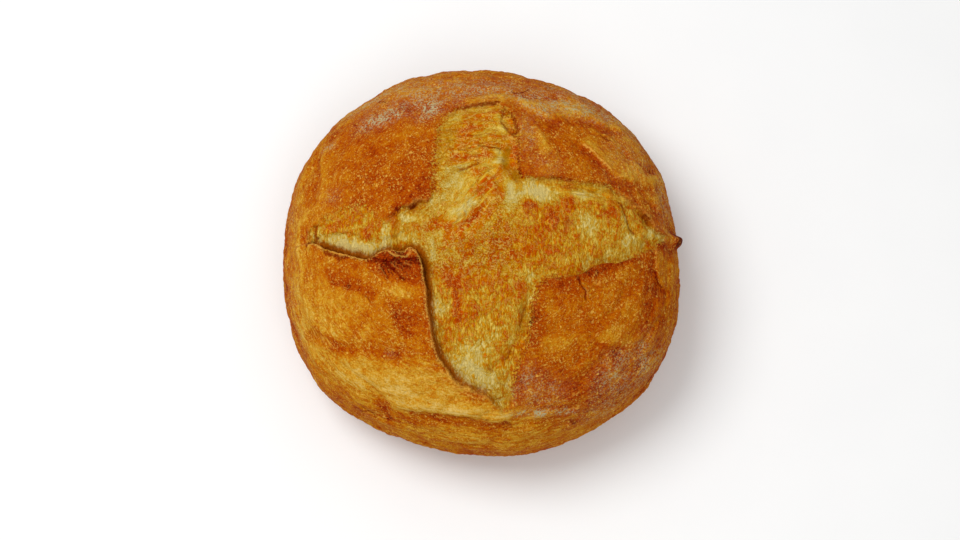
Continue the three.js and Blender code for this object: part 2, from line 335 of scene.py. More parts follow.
# ---------------------------------------------------------------- browning and flour
# Soft patches: right, back, two radii, turn in degrees, amount. Browning runs from 0, pale, to 1, burnt.
CRUST_BASE = 0.565
CRUST_PATCHES = [
    (-52, 36, 36, 26, 0, 0.08), (-34, 20, 14, 8, 0, 0.1), (-27, 34, 5, 20, 0, 0.07),
    (-100, 24, 14, 36, 0, -0.14), (-50, 90, 50, 10, 10, -0.08), (40, 46, 20, 16, 0, -0.02),
    (24, 33, 6, 8, 0, 0.09), (40, 76, 34, 6, 0, -0.1), (84, 44, 26, 20, 0, -0.06),
    (-43, -20, 13, 8, -14, 0.28), (-38, -45, 9, 15, 0, 0.1), (-70, -27, 14, 4, -20, 0.04),
    (-84, -42, 24, 16, 0, -0.12), (-50, 68, 34, 10, 8, 0.15), (0, 96, 90, 10, 0, 0.08),
    (60, -84, 24, 14, 20, 0.08), (-66, -33, 24, 9, -20, 0.03), (-44, -34, 6, 3, 0, -0.14),
    (-80, -66, 34, 22, -30, -0.22), (-38, -84, 34, 13, -8, -0.29), (-98, -20, 16, 26, 0, -0.12),
    (-92, -53, 8, 3, -10, 0.12), (-75, -61, 8, 4, -20, 0.12), (-48, -67, 6, 4, 0, 0.1),
    (-58, -93, 4, 8, 10, 0.12), (-56, -106, 3, 3, 0, 0.16), (0, -100, 44, 5, 0, -0.22),
    (0, -116, 70, 10, 0, -0.14), (104, -34, 10, 24, 0, -0.1), (28, -50, 4, 26, 0, 0.1),
    (19, -84, 3, 10, 0, 0.14), (36, -31, 8, 4, 0, 0.18), (38, -62, 8, 8, 0, -0.12),
    (36, -46, 6, 6, 0, -0.08), (58, -22, 12, 4, 20, 0.16), (74, -17, 8, 3, 20, 0.1),
    (62, -48, 34, 24, 0, 0.04), (98, -36, 14, 26, 0, 0.14), (40, -78, 20, 12, 0, 0.08),
    (64, -88, 30, 12, 20, 0.06), (0, -120, 90, 10, 0, -0.02), (0, 100, 90, 18, 0, -0.04),
    (100, 0, 14, 4, 0, 0.06), (120, 5, 6, 5, 0, 0.2),
]
CRUMB_BASE = 0.535
CRUMB_PATCHES = [
    (-70, 3, 26, 11, -8, -0.06), (62, 4, 30, 16, 0, -0.05), (-8, -76, 14, 20, 0, -0.05),
    (10, -12, 28, 8, 0, 0.14), (0, -30, 14, 12, 0, 0.1), (-17, -27, 5, 7, 30, 0.3),
    (-12, -42, 3, 12, 6, 0.26), (34, -6, 26, 12, 0, 0.08), (30, 6, 14, 5, -16, 0.2),
    (24.5, 11.5, 5, 2, -38, 0.34), (46, 12, 6, 5, -10, 0.18), (66, 8, 10, 7, -12, 0.14),
    (36, 2, 4, 8, 0, 0.12), (-4, 3.5, 10, 2.2, 45, 0.32), (4, 6, 8, 1.6, 50, 0.18),
    (2, 22, 14, 2.6, 52, 0.18), (-28, 0, 8, 4, 14, 0.2), (-47, 5, 4, 5, 30, 0.22),
    (10, 20, 3, 10, 0, 0.18), (-9, 52, 12, 4.5, 62, 0.24), (-10, 37.5, 10, 3.4, 4, 0.26),
    (15.5, 41, 12, 3.4, 92, 0.34), (14, 61, 9, 2.6, 118, 0.16), (2, 64, 8, 3, 20, 0.08),
    (4, 39, 8, 3, 0, 0.1), (-70, 6, 14, 6, 0, 0.12), (-60, -3, 4, 3, 0, 0.2),
    # The pale patches along the back arm's wrinkles, at back 33.6 to 40 mm, are painted highlights.
    (27, 19, 10, 5, -20, -0.66), (15, 14, 4, 11, 8, -0.46), (9, 40, 5, 2.6, -55, -0.5),
    (10, 35.5, 5, 1.9, 10, -0.4), (-4.5, 40, 3, 1.6, 0, -0.34), (6.5, 55.5, 5, 3.4, -40, -0.18),
    (-8, 33.6, 9, 1.5, 8, -0.34), (3.5, 33.6, 6, 1.2, 14, -0.28), (-13, 63, 6, 3, 50, -0.12),
    (-8, 9, 7, 2.6, 50, -0.3), (52, 19, 10, 3, 0, -0.4), (66, 20, 8, 4, -20, -0.1),
    (54, 2, 6, 7, 0, -0.34), (77, 5, 4, 8, 20, -0.3), (-74, -6, 18, 3.5, -20, -0.52),
    (-60, -9, 10, 3.5, -8, -0.42), (-50, -6, 3, 7, 0, -0.36), (-38, -5, 6, 4, 0, -0.26),
    (-38, 5, 6, 5, 0, -0.24), (-26, -9, 5, 8, 0, -0.2), (-23, -40, 4, 26, -6, -0.24),
    (-8, -78, 14, 12, 0, -0.4), (8, -86, 9, 10, 0, -0.26), (2, -62, 14, 8, 0, -0.12),
    (23, -40, 3, 18, -6, -0.24), (-14, 20, 9, 12, 0, -0.24), (-16, 5, 6, 5, 0, -0.22),
    (-8, 10, 8, 3, 24, -0.14), (84, -5, 10, 5, 10, -0.16), (60, -14, 22, 4, 10, -0.1),
]
# Where the crumb is olive and shaded, deep in its folds: right, back, two radii, turn, amount.
DEEP_PATCHES = [
    (-18, 51, 6.5, 18, -12, 0.62), (12.5, 39, 2.6, 9, -12, 1.0), (16.5, 29.5, 6, 2.2, -55, 0.8),
    (54, 23, 20, 3, 0, 0.45), (72, 17, 8, 3, -30, 0.35), (85, -2, 8, 5, 20, 0.35),
    (64, -13, 20, 4, 16, 0.3), (-12, 30, 5, 3, 0, 0.55), (-18, 22, 5, 9, 0, 0.25),
    (-42, 4, 4, 7, 0, 0.4), (-45, -4, 1.6, 8, 0, 0.6), (21, -50, 2, 10, -6, 0.55),
    (14, -68, 5, 3, 40, 0.45), (10, -84, 7, 8, 0, 0.4), (2, -92, 12, 3, -10, 0.45),
    (-32, 8, 7, 4, 0, 0.35), (-23, -62, 4, 14, -14, 0.45), (-13, -80, 10, 4, -40, 0.5),
    (42, 0, 3, 5, 0, 0.35),
]
# Where the crumb is drawn out in streaks from side to side.
ACROSS_PATCHES = [
    (-2, 57, 30, 25, 0, 1.1), (55, 20.5, 22, 4.5, -4, 0.8),
]
# Where its streaks rise to the back right.
RISING_PATCHES = [
    (-2, 18, 24, 10, 55, 1.0), (-6, 2, 12, 6, 45, 0.8),
]
# Where the crust is flaky, with pale scratches.
FLAKY_PATCHES = [
    (-101, -4, 6, 7, 0, 1.0), (-84, -44, 26, 12, -10, 0.5), (-66, -62, 30, 14, -20, 0.5),
    (-44, -34, 6, 4, 0, 0.9), (-30, -76, 16, 8, -30, 0.6), (-10, -88, 12, 4, -14, 1.0),
    (-40, -90, 36, 10, 0, 0.4), (86, 40, 16, 10, 0, 0.5), (-70, 28, 20, 12, 0, 0.3),
    (66, -62, 26, 14, 0, 0.4), (0, -102, 40, 4, 0, 0.7), (-104, 20, 10, 30, 0, 0.4),
]
# Where flour lies.
FLOUR_PATCHES = [
    (-85, 55, 5, 3, 20, 1.0), (-56, 66, 13, 6, 22, 0.95), (-46, 68, 8, 4, 0, 0.5),
    (-27, 71, 8, 6, -20, 0.9), (-32, 63, 5, 3, 0, 0.5), (-80, 22, 6, 5, 0, 0.35),
    (-40, 78, 40, 12, 0, 0.35), (0, 88, 50, 11, 0, 0.62), (-60, 92, 40, 8, 25, 0.6),
    (28, 73, 11, 3.6, -42, 0.95), (52, 75, 26, 7, -6, 1.0), (60, 88, 26, 7, -20, 0.55),
    (24, 54, 5, 14, 0, 0.5), (33, 34, 8, 7, 0, 0.35), (88, 60, 16, 30, -30, 0.4),
    (106, 30, 8, 26, 0, 0.5), (30, -98.5, 16, 2.2, 2, 1.0), (46, -97.5, 6, 2, 2, 0.8),
    (30, -86, 16, 9, 0, 0.5), (68, -78, 9, 14, -20, 0.55), (84, -70, 14, 16, -40, 0.35),
    (24, -76, 4, 6, 0, 0.45), (88, -58, 5, 8, 0, 0.4), (70, -98, 22, 8, 25, 0.5),
    (98, -70, 10, 22, -40, 0.45), (-8, 7, 8, 2.2, 50, 0.6), (-48, -66, 3, 2, 0, 0.4),
    (-110, -40, 10, 40, 0, 0.25), (-112, 30, 8, 30, 0, 0.3),
]


# ---------------------------------------------------------------- the dome
def section_tables(steps=2000):
    """Distance along the skin from the crown, and the radius and height there, down to the base's rim."""
    turn = np.linspace(0.0, math.pi / 2, steps)
    out = RADIUS * np.sin(turn) ** (2 / DOME_POWER)
    up = WIDEST_AT + (HEIGHT - WIDEST_AT) * np.cos(turn) ** (2 / DOME_POWER)
    belly_out = BASE_RADIUS + (RADIUS - BASE_RADIUS) * np.cos(turn[1:])
    belly_up = WIDEST_AT * (1 - np.sin(turn[1:]))
    radius = np.concatenate([out, belly_out])
    height = np.concatenate([up, belly_up])
    travelled = np.concatenate([[0.0], np.cumsum(np.hypot(np.diff(radius), np.diff(height)))])
    return travelled, radius, height


TRAVELLED, SECTION_RADIUS, SECTION_HEIGHT = section_tables()
RIM = TRAVELLED[-1]


def outline_share(angle):
    """How much wider than its mean the loaf is, in the direction of angle."""
    return sum(share * np.cos(waves * angle + turn) for share, waves, turn in OUTLINE_WAVES)


def wrap(plan):
    """Points of the plan, n by 2, wrapped onto the dome, n by 3."""
    distance = np.hypot(plan[:, 0], plan[:, 1])
    angle = np.arctan2(plan[:, 1], plan[:, 0])
    radius = np.interp(distance, TRAVELLED, SECTION_RADIUS)
    height = np.interp(distance, TRAVELLED, SECTION_HEIGHT)
    radius = radius * (1 + outline_share(angle) * (radius / RADIUS) ** 2)
    return np.stack([radius * np.cos(angle), radius * np.sin(angle), height], axis=1)


def skin_axes(plan, step=0.5):
    """The skin's directions to the right, to the back and outwards, at points of the plan."""
    pull = np.where(np.hypot(plan[:, 0], plan[:, 1]) > RIM - step, 1 - 2 * step / RIM, 1.0)
    plan = plan * pull[:, None]
    right = wrap(plan + [step, 0]) - wrap(plan - [step, 0])
    back = wrap(plan + [0, step]) - wrap(plan - [0, step])
    outward = np.cross(right, back)
    outward /= np.linalg.norm(outward, axis=1)[:, None]
    return right / (2 * step), back / (2 * step), outward


# ---------------------------------------------------------------- tools for shaping
def smooth_step(low, high, value):
    """From 0 at low to 1 at high."""
    share = np.clip((value - low) / (high - low), 0.0, 1.0)
    return share * share * (3 - 2 * share)


def bell(value, width):
    """1 at 0, and nearly 0 beyond twice the width."""
    return np.exp(-((value / width) ** 2))


def noise(points, seed):
    """Gradient noise from about -1 to 1 at points, n by 3, with one lattice step to each unit."""
    cell = np.floor(points).astype(np.int64)
    part = points - cell
    ease = part**3 * (part * (part * 6 - 15) + 10)
    total = np.zeros(len(points))
    for corner in itertools.product((0, 1), repeat=3):
        at = cell + corner
        key = at[:, 0] * 73856093 ^ at[:, 1] * 19349663 ^ at[:, 2] * 83492791 ^ (seed * 2654435761)
        key = (key ^ (key >> 13)) * 1274126177 & 0x7FFFFFFF
        slope = np.stack([(key >> bits & 1023) / 511.5 - 1 for bits in (0, 10, 20)], axis=1)
        weight = np.prod(np.where(corner, ease, 1 - ease), axis=1)
        total += weight * np.sum(slope * (part - corner), axis=1)
    return total * 1.6


def layered_noise(points, wavelength, seed, layers=3, gain=0.5):
    """Noise of a wavelength in mm, with finer layers on top."""
    total = np.zeros(len(points))
    for layer in range(layers):
        total += gain**layer * noise(points * (2**layer / wavelength), seed + layer)
    return total


def spline(rows, step, closed=False):
    """A smooth curve through rows, whose first two columns are the place, resampled every step mm."""
    rows = np.array(rows, dtype=float)
    if closed:
        rows = np.concatenate([rows[-2:], rows, rows[:3]])
    gaps = np.maximum(np.hypot(*np.diff(rows[:, :2], axis=0).T), 1e-6)
    at = np.concatenate([[0.0], np.cumsum(gaps)])
    slopes = np.gradient(rows, at, axis=0)
    first, last = (at[2], at[-3]) if closed else (at[0], at[-1])
    count = max(2, int(round((last - first) / step)))
    wanted = np.linspace(first, last, count + 1)
    if closed:
        wanted = wanted[:-1]
    left = np.clip(np.searchsorted(at, wanted, side="right") - 1, 0, len(at) - 2)
    gap = gaps[left][:, None]
    share = ((wanted - at[left]) / gaps[left])[:, None]
    return (
        (1 + 2 * share) * (1 - share) ** 2 * rows[left]
        + share * (1 - share) ** 2 * gap * slopes[left]
        + share**2 * (3 - 2 * share) * rows[left + 1]
        + share**2 * (share - 1) * gap * slopes[left + 1]
    )


def nearest_on(curve, plan, closed=False):
    """For points of the plan: signed distance to the curve, positive on its right; the curve's row there;
    its direction to the right there; and how far past an open curve's end the point is."""
    start = curve if closed else curve[:-1]
    end = np.roll(curve, -1, axis=0) if closed else curve[1:]
    run = end[:, :2] - start[:, :2]
    length_squared = np.maximum((run**2).sum(axis=1), 1e-12)
    index = np.empty(len(plan), dtype=int)
    for low in range(0, len(plan), 8000):
        block = plan[low : low + 8000]
        offset = block[:, None, :] - start[None, :, :2]
        share = np.clip((offset * run).sum(axis=2) / length_squared, 0, 1)
        gap = offset - share[..., None] * run
        index[low : low + 8000] = (gap**2).sum(axis=2).argmin(axis=1)
    offset = plan - start[index, :2]
    free = (offset * run[index]).sum(axis=1) / length_squared[index]
    share = np.clip(free, 0, 1)
    gap = offset - share[:, None] * run[index]
    distance = np.hypot(gap[:, 0], gap[:, 1])
    unit = run[index] / np.sqrt(length_squared[index])[:, None]
    side = unit[:, 1] * offset[:, 0] - unit[:, 0] * offset[:, 1]
    row = start[index] + share[:, None] * (end[index] - start[index])
    to_right = np.stack([unit[:, 1], -unit[:, 0]], axis=1)
    past = np.abs(free - share) * np.sqrt(length_squared[index])
    return np.where(side >= 0, distance, -distance), row, to_right, past


def patches(plan, table):
    """The sum of soft oval patches: right, back, two radii, turn in degrees, amount."""
    total = np.zeros(len(plan))
    for right, back, long, short, turn, amount in table:
        angle = math.radians(turn)
        x, y = plan[:, 0] - right, plan[:, 1] - back
        along = (x * math.cos(angle) + y * math.sin(angle)) / long
        across = (y * math.cos(angle) - x * math.sin(angle)) / short
        total += amount * np.exp(-(along**2 + across**2) ** 1.3)
    return total


# ---------------------------------------------------------------- the loaf's skin
def fibre_points(plan):
    """Places for the crumb's torn texture: drawn out front to back, but sideways in the back arm."""
    sideways = smooth_step(20, 34, plan[:, 1])
    right = plan[:, 0] * (1.0 - 0.6 * sideways)
    back = plan[:, 1] * (0.4 + 0.6 * sideways)
    return np.stack([right, back, np.zeros(len(plan))], axis=1)


def belt_points(plan, long, short):
    """Places for wrinkles that run round the loaf: long mm along them and short mm across."""
    angle = np.arctan2(plan[:, 1], plan[:, 0])
    turn = RADIUS / long
    distance = np.hypot(plan[:, 0], plan[:, 1])
    return np.stack([np.cos(angle) * turn, np.sin(angle) * turn, distance / short], axis=1)


def crease(values):
    """Noise turned into sharp valleys between round swellings, from 0 to about 1."""
    return np.minimum(np.abs(values) * 1.6, 1.0)


def add_cross(skin, plan, flat):
    """The step from crust to crumb, the lips along it and the crumb's swelling middle."""
    edge = spline(CROSS_EDGE, 1.2, closed=True)
    distance, row, to_crust, _ = nearest_on(edge, plan, closed=True)
    drop, lip, lean, scorch = row[:, 2:].T
    soft = 1 - smooth_step(0.0, 0.3, lean)
    ragged = 0.7 * layered_noise(flat, 8.0, 11, layers=3, gain=0.65)
    ragged *= 1 + patches(plan, FLAKY_PATCHES)
    distance = distance + ragged * bell(distance, 12)
    outside, inside = np.maximum(distance, 0), np.maximum(-distance, 0)

    curl = np.clip(0.75 + 0.9 * layered_noise(flat, 5.0, 15, layers=2), 0.1, 1.6)
    crust = lip * (0.6 * bell(outside, LIP_ROLL) + 0.7 * curl * bell(outside - 0.6, 1.3))
    middle = 1 - np.exp(-inside / CRUMB_ROLL)
    crumb = -drop * np.exp(-inside / CRUMB_ROLL) + middle * patches(plan, CRUMB_SWELLS)
    crumb -= 0.25 * drop * np.exp(-inside / 2.0)
    torn = layered_noise(fibre_points(plan), 4.0, 21, layers=2, gain=0.6)
    billow = crease(layered_noise(flat, 13.0, 31, layers=2, gain=0.4)) - 0.5
    crumb += (0.3 + 0.7 * middle) * (0.42 * torn + 1.1 * billow)
    half = WALL * (0.7 + 1.6 * soft)
    wall = smooth_step(-1, 0.7, distance / half)
    skin["out"] += wall * crust + (1 - wall) * crumb

    reach = lean * (0.8 * bell(distance + 1.2, 1.3) - bell(distance - 1.2, 2.0))
    skin["aside"] += to_crust * reach[:, None]
    skin["edge"] = distance / (1 + 3 * soft)
    skin["crumb"] = 1 - wall
    skin["torn"] = torn + 1.2 * billow
    skin["scorch"] = scorch * bell(outside, 3.0)
    skin["rim"] = np.clip(1.4 * lean - 0.6, 0, 1) * np.clip(0.9 + 0.8 * torn, 0.2, 1)
    skin["soft"] = soft
    # Painted shade on the crumb: gap darkens it under a lip, deep tints it olive and darker in its folds.
    bare = np.maximum(inside - 0.8 * lean, 0)
    skin["gap"] = np.clip(lean / 1.3, 0, 1.2) * bell(bare, 0.6 + 0.36 * drop)
    shaded = 0.08 * drop * (1 - 0.6 * np.clip(lean, 0, 1))
    skin["deep"] = shaded * bell(inside, 3.0) + patches(plan, DEEP_PATCHES)
    on_side_arms = smooth_step(12, 38, np.abs(plan[:, 0] + 8))
    skin["combed"] = np.maximum(on_side_arms, smooth_step(-18, -34, plan[:, 1]))
    across = np.clip(patches(plan, ACROSS_PATCHES), 0, 0.7)
    rising = np.clip(patches(plan, RISING_PATCHES), 0, 1) * (1 - across)
    skin["streaky"] = across + rising
    skin["rising"] = rising / np.maximum(across + rising, 1e-6)


def add_lumps(skin, plan, flat):
    """Uneven rising, wrinkles that run round the loaf, and the crust's fine crinkle."""
    skin["out"] += 0.8 * layered_noise(flat, 60.0, 41, layers=2)
    on_crust = 1 - skin["crumb"]
    sides = smooth_step(55, 95, np.hypot(plan[:, 0], plan[:, 1]))
    folds = crease(layered_noise(belt_points(plan, 34.0, 12.0), 1.0, 51, layers=2, gain=0.5))
    skin["out"] += (0.5 + 0.8 * sides) * on_crust * folds
    crinkle = crease(layered_noise(flat, 7.0, 61, layers=2, gain=0.6))
    skin["out"] += 0.42 * on_crust * crinkle
    # Painted shade: how far a point lies down in a valley of the wrinkles and the crinkle; the crust is
    # coloured darker there.
    skin["hollow"] = 0.6 * (1 - folds) + 0.4 * (1 - crinkle)


def plan_flat(plan):
    """Points of the plan as points in space, for noise."""
    return np.column_stack([plan, np.zeros(len(plan))])


def wobble(plan):
    """The plan shaken a little, so that lines drawn on it run unevenly."""
    flat = plan_flat(plan)
    right = 0.7 * layered_noise(flat, 7.0, 81, layers=3, gain=0.6)
    back = 0.7 * layered_noise(flat, 7.0, 91, layers=3, gain=0.6)
    return plan + np.stack([right, back], axis=1)


def around(line, plan, margin):
    """Which points of the plan lie within a margin of a line's box."""
    low, high = np.min(line, axis=0) - margin, np.max(line, axis=0) + margin
    return np.flatnonzero(((plan > low) & (plan < high)).all(axis=1))


def add_folds(skin, plan):
    """Soft folds, and sharper ridges where the depth is negative."""
    for depth, width, line in FOLDS:
        near = around(line, plan, 3 * width)
        distance, _, _, past = nearest_on(spline(line, 1.5), plan[near])
        fold = depth * bell(distance, width) * bell(past, width)
        skin["out"][near] -= fold
        # Painted shade in the fold, and a painted highlight on a ridge.
        skin["relief_shading"][near] += fold


def add_ledges(skin, plan):
    """Steps in the skin: they start sharply at the line and fade out on either side of it."""
    for height, width, line in LEDGES:
        near = around(line, plan, 16 * width)
        distance, _, _, past = nearest_on(spline(line, 1.5), plan[near])
        side = 0.5 * np.tanh(distance / width) * bell(distance, 7 * width)
        skin["out"][near] += height * side * bell(past, 2 * width)
        # Painted shade on the step's lower side and a painted highlight on its higher side.
        skin["relief_shading"][near] -= height * side * bell(past, 2 * width)


def add_lines(skin, plan, name, rows, rise):
    """Thin lines: a groove or a ridge, and for the material the signed distance to it in half widths, and
    its strength."""
    skin[name] = np.full(len(plan), FAR)
    skin[name + "_strength"] = np.zeros(len(plan))
    unevenness = np.clip(0.85 + 0.5 * layered_noise(plan_flat(plan), 4.0, 101, layers=2), 0.3, 1)
    for amount, half_width, line in rows:
        near = around(line, plan, 4.0)
        distance, _, _, past = nearest_on(spline(line, 0.8), plan[near])
        strength = (1 - smooth_step(1.8, 3.0, np.abs(distance))) * (1 - smooth_step(0.0, 1.2, past))
        strength *= unevenness[near] * min(1.0, amount)
        stronger = strength > skin[name + "_strength"][near]
        skin[name][near[stronger]] = (distance / half_width)[stronger]
        skin[name + "_strength"][near[stronger]] = strength[stronger]
        skin["out"][near] += rise * amount * bell(distance, 1.0) * bell(past, 1.0)


def add_tip(skin, plan):
    """The burnt knob on the right arm's tip."""
    right, back, radius, height = TIP
    away = np.hypot(plan[:, 0] - right, plan[:, 1] - back)
    knob = np.exp(-((away / radius) ** 4))
    skin["out"] += height * knob
    skin["tip"] = knob


def add_browning(skin, plan):
    """How brown the crust and the crumb are, with painted shade in hollows and folds and painted highlights
    on ridges, and where flour lies.
    """
    crust = CRUST_BASE + patches(plan, CRUST_PATCHES) + 0.16 * skin["scorch"] + 0.4 * skin["tip"]
    # Painted shade in the crust's hollows and folds, and painted highlights on its ridges.
    crust += 0.12 * (skin["hollow"] - 0.4) + 0.22 * np.clip(skin["relief_shading"], -0.6, 0.8)
    inside = np.maximum(-skin["edge"], 0)
    crumb = CRUMB_BASE + patches(plan, CRUMB_PATCHES) + 0.13 * skin["torn"]
    # Painted shade in the crumb's folds, and painted highlights on its ridges.
    crumb += 0.14 * np.clip(skin["relief_shading"], -1, 1)
    crumb += (0.12 * skin["soft"] * (plan[:, 1] < 20) - 0.08) * bell(inside, 6.0)
    skin["crust_browning_and_shade"] = crust
    skin["crumb_browning_and_shade"] = crumb
    skin["flour"] = np.clip(patches(plan, FLOUR_PATCHES), 0, 1)
    skin["flaky"] = np.clip(patches(plan, FLAKY_PATCHES), 0, 1)


def shape_skin(plan):
    """Points of the plan turned into the loaf's surface, and the material's numbers there."""
    flat = plan_flat(plan)
    skin = {"out": np.zeros(len(plan)), "relief_shading": np.zeros(len(plan)), "aside": np.zeros((len(plan), 2))}
    add_cross(skin, plan, flat)
    add_lumps(skin, plan, flat)
    shaken = wobble(plan)
    add_folds(skin, shaken)
    add_ledges(skin, shaken)
    add_lines(skin, shaken, "crack", CRACKS, CRACK_RISE)
    add_lines(skin, shaken, "flake", FLAKES, FLAKE_RISE)
    add_tip(skin, plan)
    add_browning(skin, plan)
    right, back, outward = skin_axes(plan)
    points = wrap(plan)
    fade = smooth_step(0.0, 16.0, points[:, 2])
    moved = right * skin["aside"][:, :1] + back * skin["aside"][:, 1:]
    moved += outward * skin["out"][:, None]
    return points + moved * fade[:, None], skin


# ---------------------------------------------------------------- the mesh
def square_grid(count):
    """A square of count by count points spread evenly over a disc of radius 1."""
    along = np.linspace(-1, 1, count)
    x, y = (part.ravel() for part in np.meshgrid(along, along))
    flatter = np.abs(x) > np.abs(y)
    radius = np.where(flatter, x, y)
    other = np.where(flatter, y, x)
    turn = math.pi / 4 * other / np.where(radius == 0, 1, radius)
    across, up = radius * np.cos(turn), radius * np.sin(turn)
    return np.stack([np.where(flatter, across, up), np.where(flatter, up, across)], axis=1)


def grid_faces(count, start=0, upwards=True):
    """The faces of a square grid whose first point has the number start."""
    at = start + np.arange(count * count).reshape(count, count)
    corners = [at[:-1, :-1], at[:-1, 1:], at[1:, 1:], at[1:, :-1]]
    if not upwards:
        corners.reverse()
    return np.stack([corner.ravel() for corner in corners], axis=1)


def grid_border(count, start=0):
    """The square's border, anticlockwise seen from above."""
    at = start + np.arange(count * count).reshape(count, count)
    return np.concatenate([at[0, :-1], at[:-1, -1], at[-1, :0:-1], at[:0:-1, 0]])


def stitch(outer, inner):
    """Faces between a ring and one of half as many points inside it, facing down."""
    faces = []
    for k in range(len(inner)):
        a, b, c = outer[2 * k], outer[2 * k + 1], outer[(2 * k + 2) % len(outer)]
        near, far = inner[k], inner[(k + 1) % len(inner)]
        faces += [(b, a, near), (c, b, far), (b, near, far)]
    return faces


def underside_height(points):
    """The flat base is a little hollow, and pitted where it lay on the oven's floor."""
    from_rim = np.clip(1 - np.hypot(points[:, 0], points[:, 1]) / BASE_RADIUS, 0, 1)
    flat = plan_flat(points[:, :2])
    hollow = 1.2 * smooth_step(0, 0.5, from_rim)
    pits = 0.7 * np.maximum(layered_noise(flat, 11.0, 71), 0) * smooth_step(0, 0.1, from_rim)
    return hollow + pits


def loaf_mesh():
    """The loaf's points in mm, its faces, how many of them are on the skin, and the skin's numbers."""
    disc = square_grid(GRID)
    share = np.hypot(disc[:, 0], disc[:, 1])
    reach = np.interp(share, [0, FINE_SHARE, 1], [0, FINE_REACH, RIM])
    plan = disc * (reach / np.maximum(share, 1e-9))[:, None]
    points, skin = shape_skin(plan)

    border = grid_border(GRID)
    ring = points[border[::2]] * [BASE_RINGS[0], BASE_RINGS[0], 0]
    base_disc = square_grid(BASE_GRID)
    rim_angle = np.arctan2(base_disc[:, 1], base_disc[:, 0])
    rim_reach = BASE_RADIUS * (1 + outline_share(rim_angle) * (BASE_RADIUS / RADIUS) ** 2)
    base = np.column_stack([base_disc * (BASE_RINGS[1] * rim_reach)[:, None], np.zeros(len(base_disc))])
    ring[:, 2] = underside_height(ring)
    base[:, 2] = underside_height(base)

    ring_start = len(points)
    base_start = ring_start + len(ring)
    ring_index = np.arange(ring_start, base_start)
    top_faces = grid_faces(GRID)
    base_faces = grid_faces(BASE_GRID, base_start, upwards=False)
    joining = stitch(border, ring_index) + stitch(ring_index, grid_border(BASE_GRID, base_start))
    everything = np.concatenate([points, ring, base])
    under_reach = RIM + BASE_RADIUS - np.hypot(everything[len(points) :, 0], everything[len(points) :, 1])
    skin["from_crown"] = np.concatenate([np.hypot(plan[:, 0], plan[:, 1]), under_reach])
    faces = top_faces.tolist() + joining + base_faces.tolist()
    return everything, faces, len(top_faces), skin


# The numbers that the skin gives to the material, and what they are on the underside.
UNDERSIDE = {
    "edge": 60.0,  # distance from the edge of the cross, positive on the crust
    "rim": 0.0,  # how pale and torn a lip's rim is
    "crack": FAR,  # distance to the nearest crack, in its half widths
    "crack_strength": 0.0,
    "flake": FAR,  # and to the nearest flake
    "flake_strength": 0.0,
    "crust_browning_and_shade": 0.62,  # browning, with painted shade in folds and hollows on the skin, from 0 to 1
    "crumb_browning_and_shade": 0.5,
    "flour": 0.35,
    "flaky": 0.0,
    "gap": 0.0,  # shade under a lip
    "deep": 0.0,  # shade in the crumb's folds
    "combed": 0.0,  # fibres drawn out front to back
    "streaky": 0.0,  # broader streaks
    "rising": 0.0,  # 1 where those rise to the back right, 0 where they run from side to side
}


def put_number(mesh, name, values, rest=0.0):
    """Stores one number for each point; the underside's points get rest."""
    every = np.full(len(mesh.vertices), rest, dtype=np.float32)
    every[: len(values)] = values
    mesh.attributes.new(name, "FLOAT", "POINT").data.foreach_set("value", every)


def lay_out(mesh, points, top_count):
    """A texture layout: the grid's square for the skin, and a small disc beside it for the underside."""
    square, gap, disc = 0.875, 0.004, 0.057
    corner = np.empty(len(mesh.loops), dtype=int)
    mesh.loops.foreach_get("vertex_index", corner)
    column, line = corner % GRID, corner // GRID
    skin = gap + square * np.stack([column, line], axis=1) / (GRID - 1)
    flat = points[corner, :2] / BASE_RADIUS * disc * 0.95 + [1 - disc - gap, 1 - disc - gap]
    on_top = np.arange(len(corner)) < 4 * top_count
    places = np.where(on_top[:, None], skin, flat)
    layout = mesh.uv_layers.new(name="OFBake")
    layout.uv.foreach_set("vector", places.astype(np.float32).ravel())


def make_loaf():
    """The loaf, centred over the CAD model's box, and how far it was moved for that, in metres."""
    points, faces, top_count, skin = loaf_mesh()
    centre = (points.min(axis=0) + points.max(axis=0)) / 2
    low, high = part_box("loaf")
    shift = np.array([(low[0] + high[0]) / 2, (low[1] + high[1]) / 2, 0]) - [*(centre[:2] * MM), 0]
    mesh = bpy.data.meshes.new("loaf_baked")
    mesh.from_pydata((points * MM + shift).tolist(), [], faces)
    mesh.shade_smooth()
    lay_out(mesh, points, top_count)
    for name in UNDERSIDE:
        put_number(mesh, name, skin[name], UNDERSIDE[name])
    put_number(mesh, "from_crown", skin["from_crown"])
    loaf = bpy.data.objects.new("loaf_baked", mesh)
    bpy.context.collection.objects.link(loaf)
    return loaf, shift


# ---------------------------------------------------------------- materials
def colour(red, green, blue):
    """A colour given as it looks on a screen, 0 to 255, as the linear values that nodes take."""
    shares = [part / 255 for part in (red, green, blue)]
    return [part / 12.92 if part <= 0.04045 else ((part + 0.055) / 1.055) ** 2.4 for part in shares] + [1.0]


